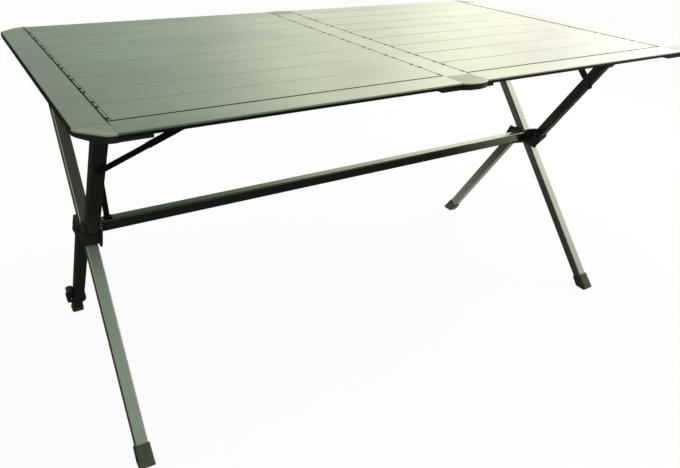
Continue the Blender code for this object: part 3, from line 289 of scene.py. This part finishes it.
def ramp_of(tree, factor, stops):
    """A colour ramp over a factor, from (place, colour) stops."""
    ramp = add(tree, "ShaderNodeValToRGB", {"Fac": factor})
    elements = ramp.color_ramp.elements
    while len(elements) < len(stops):
        elements.new(0.5)
    for element, (place, value) in zip(elements, stops):
        element.position = place
        element.color = (*value, 1)
    return ramp.outputs["Color"]


def mixed(tree, factor, first, second):
    """Two colours mixed: the first where the factor is 0, and the second where it is 1."""
    # By number, because a mix node has inputs of the same name for each kind of value
    return add(tree, "ShaderNodeMix", {0: factor, 6: first, 7: second}, data_type="RGBA").outputs[2]


def opaque(tint):
    """A colour with full cover."""
    return (*tint, 1)


def shade(value, factor):
    """A colour made lighter or darker."""
    return tuple(min(1.0, v * factor) for v in value)


def eye_rays(tree):
    """1 for what the eye sees directly, or through something clear, and 0 for light on its way."""
    path = add(tree, "ShaderNodeLightPath").outputs
    return maths(tree, "MAXIMUM", path["Is Camera Ray"], path["Is Transmission Ray"])


def from_middle(tree, place):
    """The distances of a place from the table's middle, along X and Y."""
    parts = parts_of(tree, place)
    return [maths(tree, "ABSOLUTE", parts[axis]) for axis in ("X", "Y")]


def painted_wall_shade(tree, place):
    """1 on the outer walls of the rails and end strips, where shade is painted on, and 0 on the
    top.
    """
    walls = [
        smooth_step(tree, value, reach - WALL_SHADE_START, reach - WALL_SHADE_FULL)
        for value, reach in zip(from_middle(tree, place), TOP_REACH)
    ]
    return maths(tree, "MAXIMUM", *walls)


def anodised_aluminium(name, tint, along, roughness, metallic, slat_pitch=0.0, shade_walls=False):
    """Extruded aluminium, satin etched and anodised, with faint draw lines along the extrusion.

    A slat pitch gives each slat its own tone, and the flag for the walls paints shade on the outer
    walls of the top.
    """
    material, tree, output = new_material(name)
    place = place_on(tree)
    turn = Vector(along).to_track_quat("X", "Z").to_euler()
    # Draw lines are finer than the render can show, so they are drawn 2.2 mm wide, 300 mm long
    stretched = add(
        tree, "ShaderNodeMapping",
        {"Vector": place, "Rotation": turn, "Scale": (0.300, 0.0022, 0.0022)},
        vector_type="TEXTURE",
    ).outputs["Vector"]
    lines = noise(tree, stretched, 1.0, 3.0, 0.6)
    # Etching leaves cloudy tone changes about 180 mm across
    clouds = noise(tree, place, 0.180, 2.0)
    # The etched grain is about 0.2 mm, drawn at 1.2 mm
    grain = noise(tree, place, 0.0012, 2.0)
    factor = spread(tree, maths(tree, "MULTIPLY_ADD", lines, 0.45, clouds), 0.50, 0.95)
    if slat_pitch:
        factor = slat_tone(tree, place, factor, slat_pitch)
    base = ramp_of(tree, factor, [(0.0, shade(tint, 0.90)), (0.5, tint), (1.0, shade(tint, 1.09))])
    # Painted shade: the outer walls of the rails and end strips are darkened
    if shade_walls:
        base = mixed(tree, painted_wall_shade(tree, place), base, opaque(srgb(OUTER_WALL_SHADE)))
    rough = spread(tree, lines, to_low=roughness - 0.035, to_high=roughness + 0.035)
    height = maths(tree, "MULTIPLY_ADD", lines, 0.5, grain)
    normal = relief(tree, height, 0.10, 0.0002)
    principled(
        tree, output,
        {"Metallic": metallic, "Base Color": base, "Roughness": rough, "Normal": normal},
    )
    return material


def slat_tone(tree, place, factor, pitch):
    """The factor moved a little from slat to slat, as each extrusion takes the dye differently."""
    number = maths(tree, "DIVIDE", parts_of(tree, place)["Y"], pitch)
    whole = maths(tree, "FLOOR", number)
    dye = add(tree, "ShaderNodeTexWhiteNoise", {"W": whole}, noise_dimensions="1D")
    shift = spread(tree, dye.outputs["Value"], to_low=-0.16, to_high=0.16)
    return maths(tree, "ADD", factor, shift)


def rim_highlight_of(tree, place, tint):
    """A tint that pales to a corner's beige rim, a painted highlight along its edge, by the
    distance in from the outline.
    """
    side = [
        maths(tree, "ADD", value, -reach)
        for value, reach in zip(from_middle(tree, place), TOP_REACH)
    ]
    both = maths(tree, "ADD", *side)
    slant = math.sqrt(0.5)
    cut = maths(tree, "MULTIPLY_ADD", both, slant, slant * CORNER_CUT)
    front = maths(tree, "MAXIMUM", cut, side[1])
    # The painted highlight starts 19 mm in and is full from 10 mm in
    rim = smooth_step(tree, front, -0.019, -0.010)
    beige = tuple(v * f for v, f in zip(tint, (1.24, 1.14, 1.08)))
    return ramp_of(tree, rim, [(0.0, tint), (1.0, beige)])


def moulded_nylon(name, tint, roughness, metallic=0.0):
    """Glass-filled nylon: an even fine grain and scuffs that dry to a paler grey.

    Where a metallic share is given, the face of the top carries metallic paint, and the sides are
    darkened as painted shade.
    """
    material, tree, output = new_material(name)
    place = place_on(tree)
    # The mould's grain is about 0.3 mm, drawn at 1.1 mm so that it shows
    grain = noise(tree, place, 0.0011, 3.0)
    # Scuffs from packing, about 14 mm across and broken up
    scuffs = noise(tree, place, 0.014, 5.0, 0.7)
    worn = spread(tree, scuffs, 0.56, 0.80)
    dry = tuple(v * 1.3 + 0.02 for v in tint)
    base = ramp_of(tree, worn, [(0.0, tint), (0.6, shade(tint, 1.25)), (1.0, dry)])
    inputs = {
        "IOR": 1.53,
        "Base Color": base,
        "Roughness": spread(tree, worn, to_low=roughness, to_high=roughness + 0.15),
        "Normal": relief(tree, grain, 0.22, 0.0003),
    }
    if metallic:
        # Painted shade: the sides are darkened and not metallic, from 1.5 to 3 mm below the top
        height = parts_of(tree, place)["Z"]
        painted = smooth_step(tree, height, TOP_HEIGHT - 0.0030, TOP_HEIGHT - 0.0015)
        # The top's paint pales to the painted highlight at its rim
        paint = mixed(tree, 0.75, base, rim_highlight_of(tree, place, tint))
        inputs["Base Color"] = mixed(tree, painted, opaque(srgb(SHADED_SIDE_NYLON)), paint)
        inputs["Metallic"] = maths(tree, "MULTIPLY", painted, metallic)
    principled(tree, output, inputs)
    return material


def moulded_rubber(name, tint):
    """Moulded thermoplastic rubber: matt, with dust held in its grain towards the sole."""
    material, tree, output = new_material(name)
    place = place_on(tree)
    # The grain is about 0.5 mm, drawn at 1.4 mm
    grain = add(tree, "ShaderNodeTexVoronoi", {"Scale": 1 / 0.0014, "Vector": place})
    # Dust lies in patches about 10 mm across, up to 16 mm above the floor
    dust = noise(tree, place, 0.010, 6.0, 0.65)
    low = spread(tree, parts_of(tree, place)["Z"], 0.016, 0.0)
    dusty = maths(tree, "MULTIPLY", dust, low)
    base = ramp_of(tree, dusty, [(0.0, shade(tint, 0.92)), (0.35, tint), (0.8, srgb(SOLE_DUST))])
    normal = relief(tree, grain.outputs["Distance"], 0.25, 0.0004)
    principled(
        tree, output, {"IOR": 1.50, "Roughness": 0.66, "Base Color": base, "Normal": normal}
    )
    return material


def baked_paint(name, tint):
    """Black stoving paint on steel strip: a slight orange peel and rubbed grey places."""
    material, tree, output = new_material(name)
    place = place_on(tree)
    # Orange peel about 2 mm across, and rubbed places about 20 mm across
    peel = noise(tree, place, 0.002, 1.0)
    rub = noise(tree, place, 0.020, 5.0, 0.7)
    worn = spread(tree, rub, 0.60, 0.78)
    inputs = {
        "IOR": 1.50,
        "Roughness": 0.52,
        "Specular IOR Level": 0.2,
        "Base Color": ramp_of(tree, worn, [(0.0, tint), (1.0, tuple(v + 0.025 for v in tint))]),
        "Normal": relief(tree, peel, 0.12, 0.0002),
    }
    principled(tree, output, inputs)
    return material


def plated_steel(name, tint):
    """Zinc-plated and darkened steel: a metal with duller patches about 4 mm across."""
    material, tree, output = new_material(name)
    patches = noise(tree, place_on(tree), 0.004, 3.0)
    base = ramp_of(tree, patches, [(0.3, shade(tint, 0.82)), (0.7, shade(tint, 1.1))])
    rough = spread(tree, patches, to_low=0.24, to_high=0.42)
    principled(tree, output, {"Metallic": 1.0, "Base Color": base, "Roughness": rough})
    return material


def highlight_edge(name, tint):
    """The rounded edge of an extrusion, its lighter tint a painted highlight, brighter and duller
    in lengths of about 60 mm.
    """
    material, tree, output = new_material(name)
    rubs = noise(tree, place_on(tree), 0.060, 4.0)
    base = ramp_of(tree, rubs, [(0.35, shade(tint, 0.88)), (0.65, shade(tint, 1.06))])
    rough = spread(tree, rubs, to_low=0.40, to_high=0.47)
    principled(tree, output, {"Metallic": 0.92, "Base Color": base, "Roughness": rough})
    return material


def shadow_gap(name, tint):
    """The dark inside of a seam, with dust that pales it in patches about 35 mm across."""
    material, tree, output = new_material(name)
    dust = noise(tree, place_on(tree), 0.035, 5.0)
    base = ramp_of(tree, dust, [(0.4, tint), (0.75, shade(tint, 2.2))])
    principled(tree, output, {"Roughness": 0.9, "Specular IOR Level": 0.2, "Base Color": base})
    return material


def starts(name, words):
    """Whether a node's name starts with one of these words."""
    return any(name.startswith(word) for word in words)


def dress(name, material):
    """A solid's material slots filled with one material."""
    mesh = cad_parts[name].data
    mesh.materials.clear()
    mesh.materials.append(material)


def run_of(name):
    """The direction in which a leg tube runs, from its box in the end frame."""
    low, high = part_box(name)
    span = high - low
    side = 1 if (low.x + high.x) > 0 else -1
    rise = -1 if starts(name, HALF_LEGS) else 1
    return Vector((-side * LEG_LEAN * span.z, rise * span.y, span.z)).normalized()


def tube_finish(name, tint, roughness, metallic):
    """A leg tube's own anodising, whose draw lines follow the tube."""
    return anodised_aluminium("Anodised " + name, tuple(tint), run_of(name), roughness, metallic)


class TABLE_OT_finishes(bpy.types.Operator):
    """Give every solid of the table the finish of the real piece"""

    bl_idname = "table.finishes"
    bl_label = "Finishes"

    def execute(self, context):
        tint = context.scene.table_colours
        slat_pitch = SLAT_HIGH.y - SLAT_LOW.y
        slats = anodised_aluminium(
            "Anodised slats", tuple(tint.top), (1, 0, 0), 0.31, 0.98, slat_pitch, shade_walls=True
        )
        strips = anodised_aluminium(
            "Anodised cross strips", tuple(tint.top), (0, 1, 0), 0.31, 0.98, shade_walls=True
        )
        bars = anodised_aluminium(
            "Anodised side bars", tuple(tint.stretcher), (1, 0, 0), 0.17, 0.97
        )
        corners = moulded_nylon("Grey-olive painted nylon", tuple(tint.corners), 0.42, 0.65)
        hubs = moulded_nylon("Green-black moulded nylon", tuple(tint.hubs), 0.40)
        rubber = moulded_rubber("Olive moulded rubber", tuple(tint.feet))
        paint = baked_paint("Black stoving paint", tuple(tint.paint))
        plate = plated_steel("Darkened zinc plating", tuple(tint.pins))
        finishes = [
            (TOP_PLATES, slats),
            (TOP_STRIPS, strips),
            (("corner_", "connector_"), corners),
            (("stretcher", "front_side_bar", "rear_side_bar"), bars),
            (("hub_", "leg_head", "clamp_"), hubs),
            (("foot_cap", "level_foot_cap"), rubber),
            (("knee_strut", "stay"), paint),
            (("pivot_pin",), plate),
        ]
        for name in sorted(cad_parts):
            found = [material for words, material in finishes if starts(name, words)]
            if found:
                dress(name, found[0])
            elif starts(name, LONG_LEGS):
                dress(name, tube_finish(name, tint.legs, 0.32, 0.78))
            elif starts(name, HALF_LEGS):
                dress(name, tube_finish(name, tint.half_legs, 0.30, 0.97))
            else:
                raise RuntimeError(f"no finish for the solid {name}")
        return {"FINISHED"}


def piece_of(name, bm, material, body):
    """A finished piece that rides on a body."""
    bmesh.ops.remove_doubles(bm, verts=bm.verts, dist=SAME_PLACE)
    bmesh.ops.recalc_face_normals(bm, faces=bm.faces)
    mesh = bpy.data.meshes.new(name)
    bm.to_mesh(mesh)
    bm.free()
    mesh.shade_smooth()
    mesh.set_sharp_from_angle(angle=SHARP_ANGLE)
    mesh.materials.append(material)
    piece = bpy.data.objects.new(name, mesh)
    bpy.context.collection.objects.link(piece)
    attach(piece, body)


def soften(bm, made, middle, softening):
    """The edges of a new form's upper side rounded off: those above its middle height."""
    top = [v for v in made["verts"] if v.co.z > middle]
    rim = dict.fromkeys(e for v in top for e in v.link_edges if all(w in top for w in e.verts))
    bmesh.ops.bevel(
        bm, geom=list(rim), offset=softening, segments=2, profile=0.5, affect="EDGES", material=-1
    )


def rounded_pad(bm, place, length, width, depth):
    """A flush oval pad with a softened rim, its top at the place."""
    middle = Matrix.Translation((0, 0, -depth / 2))
    form = place @ Matrix.Diagonal((width, length, 1, 1)) @ middle
    made = bmesh.ops.create_cone(
        bm, cap_ends=True, segments=CLIP_CORNERS, radius1=0.5, radius2=0.5, depth=depth,
        matrix=form,
    )
    soften(bm, made, place.translation.z - depth / 2, width * CLIP_SOFTENING)


def strip(bm, low, high, softening):
    """A bar between two corners, the edges of its upper side softened."""
    low, high = Vector(low), Vector(high)
    form = Matrix.Translation((low + high) / 2) @ Matrix.Diagonal((*(high - low), 1))
    made = bmesh.ops.create_cube(bm, size=1, matrix=form)
    soften(bm, made, (low.z + high.z) / 2, softening)


def slat_halves():
    """Each half of the top: its name, its slats' ends along X, and the body it rides on."""
    for half in ("left", "right"):
        low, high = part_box(f"slat_{half}_1")
        yield half, low.x, high.x, f"top_{half}"


def slat_seams(half):
    """The places along Y of the seams between two slats, and of the two seams beside the rails."""
    sides = [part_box(f"slat_{half}_{number}") for number in range(1, SLATS_PER_HALF + 1)]
    places = sorted([low.y for low, high in sides] + [high.y for low, high in sides])
    between = [(first + second) / 2 for first, second in zip(places[1:-1:2], places[2:-1:2])]
    return between, (places[0], places[-1])


class TABLE_OT_slat_edges(bpy.types.Operator):
    """Round the slats' long edges and darken the seams beside the rails and strips"""

    bl_idname = "table.slat_edges"
    bl_label = "Slat edges"

    def execute(self, context):
        sizes = context.scene.table_fittings
        # Painted highlight: the rounded slat edges get a tint lighter than the top
        edge = highlight_edge("Rounded slat edge", srgb(SLAT_EDGE_HIGHLIGHT))
        gap = shadow_gap("Dark seam", srgb(DARK_SEAM))
        top = TOP_HEIGHT + sizes.seam_rise
        low = TOP_HEIGHT - STRIP_DEPTH
        for half, start, end, body in slat_halves():
            between, beside = slat_seams(half)
            edges = bmesh.new()
            for y in (*between, beside[1]):
                reach = sizes.edge_width / 2
                strip(edges, (start, y - reach, low), (end, y + reach, top), sizes.seam_rise)
            gaps = bmesh.new()
            front, back = beside
            reach = sizes.seam_width / 2
            strip(gaps, (start, front - reach, low), (end, front + reach, top), sizes.seam_rise)
            outer, centre, inward = (start, end, 1) if half == "left" else (end, start, -1)
            across = ((outer, sizes.end_seam_width), (centre, sizes.centre_seam_width))
            for x, width in across:
                begin, finish = (x - width / 2, front, low), (x + width / 2, TOP_REACH.y, top)
                strip(gaps, begin, finish, sizes.seam_rise)
            line = outer + inward * sizes.channel_width
            reach = sizes.stop_line_width / 2
            strip(gaps, (line - reach, front, low), (line + reach, back, top), sizes.seam_rise / 2)
            piece_of(f"slat_edges_{half}", edges, edge, body)
            piece_of(f"seam_shadows_{half}", gaps, gap, body)
        return {"FINISHED"}


class TABLE_OT_slat_clips(bpy.types.Operator):
    """Put the dark end clips of the slats in the seams beside the strips"""

    bl_idname = "table.slat_clips"
    bl_label = "Slat end clips"

    def execute(self, context):
        sizes = context.scene.table_fittings
        clip = shadow_gap("Black spring clip", srgb(CLIP_BLACK))
        for half, start, end, body in slat_halves():
            outer, centre, inward = (start, end, 1) if half == "left" else (end, start, -1)
            channel = outer + inward * sizes.channel_width / 2
            rows = ((channel, sizes.clip_width), (centre, sizes.centre_clip_width))
            bm = bmesh.new()
            for number in range(1, SLATS_PER_HALF + 1):
                low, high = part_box(f"slat_{half}_{number}")
                for y in (low.y + sizes.clip_inset, high.y - sizes.clip_inset):
                    for x, width in rows:
                        place = Matrix.Translation((x, y, TOP_HEIGHT + sizes.clip_rise))
                        rounded_pad(bm, place, sizes.clip_length, width, CLIP_DEPTH)
            piece_of(f"slat_clips_{half}", bm, clip, body)
        return {"FINISHED"}


class TABLE_OT_stage(bpy.types.Operator):
    """Lay the pale floor, hang the soft light and set the camera"""

    bl_idname = "table.stage"
    bl_label = "Stage"

    def execute(self, context):
        sizes = context.scene.table_stage
        self.floor(sizes.floor_size)
        self.world(context.scene)
        # The lamps point at the table's middle, at 0.7 of its height
        target = Vector((0, 0, TOP_HEIGHT * 0.7))
        for name, place, extent, tint, setting in LAMPS:
            self.lamp(name, place, target, extent, tint, getattr(sizes, setting))
        self.camera(context.scene, sizes)
        context.scene.view_settings.view_transform = "Standard"
        return {"FINISHED"}

    def floor(self, side):
        """A pale floor, white to the eye, that takes the table's shadow.

        In what the table mirrors the floor is dark, with two lit patches.
        """
        bm = bmesh.new()
        bmesh.ops.create_grid(bm, x_segments=1, y_segments=1, size=side / 2)
        mesh = bpy.data.meshes.new("floor")
        bm.to_mesh(mesh)
        bm.free()
        material, tree, output = new_material("White studio floor")
        spot = parts_of(tree, place_on(tree))
        # One patch lies behind, beyond a slanting edge, and one in front on the right
        slant = maths(tree, "MULTIPLY_ADD", spot["Y"], 0.87, spot["X"])
        behind = product(
            tree,
            smooth_step(tree, slant, 0.50, 0.95),
            smooth_step(tree, spot["Y"], -0.1, 0.2),
            smooth_step(tree, spot["X"], -0.6, 0.0),
        )
        front = product(
            tree,
            smooth_step(tree, spot["Y"], -1.7, -1.2),
            smooth_step(tree, spot["Y"], -0.3, -0.7),
            smooth_step(tree, spot["X"], 1.0, 1.7),
        )
        lit = maths(tree, "ADD", behind, front)
        level = maths(tree, "MULTIPLY_ADD", lit, FLOOR_LIT, FLOOR_DIM)
        paper = add(tree, "ShaderNodeBsdfDiffuse", {"Color": (0.86, 0.86, 0.85, 1)})
        glow = add(tree, "ShaderNodeEmission", {"Color": (1, 1, 1, 1), "Strength": 1.0})
        dim = add(tree, "ShaderNodeEmission", {"Color": (0.97, 1.0, 0.90, 1), "Strength": level})
        eye = add(
            tree, "ShaderNodeMixShader",
            {0: 0.93, 1: paper.outputs["BSDF"], 2: glow.outputs["Emission"]},
        )
        mix = add(
            tree, "ShaderNodeMixShader",
            {0: eye_rays(tree), 1: dim.outputs["Emission"], 2: eye.outputs["Shader"]},
        )
        tree.links.new(mix.outputs["Shader"], output.inputs["Surface"])
        mesh.materials.append(material)
        floor = bpy.data.objects.new("floor", mesh)
        bpy.context.collection.objects.link(floor)

    def world(self, scene):
        """A white room to the eye, and one with a bright wall on the right to the table."""
        world = bpy.data.worlds.new("Studio")
        world.use_nodes = True
        scene.world = world
        tree = world.node_tree
        tree.nodes.clear()
        output = tree.nodes.new("ShaderNodeOutputWorld")
        way = parts_of(tree, add(tree, "ShaderNodeTexCoord").outputs["Generated"])
        walls = ramp_of(tree, spread(tree, way["X"], -1.0, 1.0), WALL_LIGHT)
        # By the direction's parts: X is 1 on the right, Y is 1 behind and Z is 1 overhead
        low_front = product(
            tree, smooth_step(tree, way["Y"], -0.1, -0.5), smooth_step(tree, way["Z"], 0.54, 0.22)
        )
        # The left is left out of the high back, because its own light is mixed in below
        high_back = product(
            tree,
            smooth_step(tree, way["Z"], 0.36, 0.44),
            smooth_step(tree, way["Y"], 0.2, 0.5),
            smooth_step(tree, way["X"], -0.4, -0.1),
        )
        high_left = product(
            tree, smooth_step(tree, way["X"], -0.2, -0.5), smooth_step(tree, way["Z"], 0.20, 0.42)
        )
        walls = mixed(tree, high_left, walls, opaque(HIGH_LEFT_LIGHT))
        horizon = smooth_step(tree, way["Z"], 0.30, 0.14)
        # The shares of the light that these three take away
        strength = product(
            tree,
            part_of(tree, low_front, 0.96),
            part_of(tree, high_back, 0.94),
            part_of(tree, horizon, 0.22),
        )
        eye = add(tree, "ShaderNodeBackground", {"Color": (1, 1, 1, 1), "Strength": 1.0})
        room = add(tree, "ShaderNodeBackground", {"Color": walls, "Strength": strength})
        mix = add(
            tree, "ShaderNodeMixShader",
            {0: eye_rays(tree), 1: room.outputs["Background"], 2: eye.outputs["Background"]},
        )
        tree.links.new(mix.outputs["Shader"], output.inputs["Surface"])

    def lamp(self, name, place, target, extent, tint, watts):
        """A large soft lamp that points at the table."""
        data = bpy.data.lights.new(name, "AREA")
        data.shape = "RECTANGLE"
        data.size, data.size_y = extent
        data.color = tint
        data.energy = watts
        lamp = bpy.data.objects.new(name, data)
        lamp.location = place
        lamp.visible_glossy = False
        lamp.rotation_euler = (target - Vector(place)).to_track_quat("-Z", "Y").to_euler()
        bpy.context.collection.objects.link(lamp)

    def camera(self, scene, sizes):
        """The photograph's point of view."""
        yaw, pitch, roll = sizes.camera_yaw, sizes.camera_pitch, sizes.camera_roll
        turn = Euler((math.pi / 2 - pitch, 0, -yaw)).to_matrix() @ Matrix.Rotation(roll, 3, "Z")
        data = bpy.data.cameras.new("Photograph's view")
        data.sensor_width = SENSOR_WIDTH
        data.lens = sizes.focal_length * SENSOR_WIDTH / PHOTO_WIDTH
        data.dof.use_dof = False
        data.clip_end = 60
        camera = bpy.data.objects.new("Photograph's view", data)
        camera.matrix_world = Matrix.Translation(sizes.camera_place) @ turn.to_4x4()
        bpy.context.collection.objects.link(camera)
        scene.camera = camera


OPERATORS = (TABLE_OT_finishes, TABLE_OT_slat_edges, TABLE_OT_slat_clips, TABLE_OT_stage)


class TABLE_PT_panel(bpy.types.Panel):
    """The table's steps, in order"""

    bl_idname = "TABLE_PT_panel"
    bl_label = "Camping table"
    bl_space_type = "VIEW_3D"
    bl_region_type = "UI"
    bl_category = "Camping table"

    def draw(self, context):
        for operator in OPERATORS:
            self.layout.operator(operator.bl_idname)
        for group in ("table_colours", "table_fittings", "table_stage"):
            settings = getattr(context.scene, group)
            for name in settings.bl_rna.properties.keys():
                if name not in ("rna_type", "name"):
                    self.layout.prop(settings, name)


CLASSES = (TableFinishColours, TableFittingSizes, TableStageSizes, *OPERATORS, TABLE_PT_panel)


def register():
    for cls in CLASSES:
        bpy.utils.register_class(cls)
    bpy.types.Scene.table_colours = bpy.props.PointerProperty(type=TableFinishColours)
    bpy.types.Scene.table_fittings = bpy.props.PointerProperty(type=TableFittingSizes)
    bpy.types.Scene.table_stage = bpy.props.PointerProperty(type=TableStageSizes)


def unregister():
    del bpy.types.Scene.table_stage
    del bpy.types.Scene.table_fittings
    del bpy.types.Scene.table_colours
    for cls in reversed(CLASSES):
        bpy.utils.unregister_class(cls)


def main():
    register()
    bpy.ops.table.finishes()
    bpy.ops.table.slat_edges()
    bpy.ops.table.slat_clips()
    bpy.ops.table.stage()


if __name__ == "__main__":
    main()
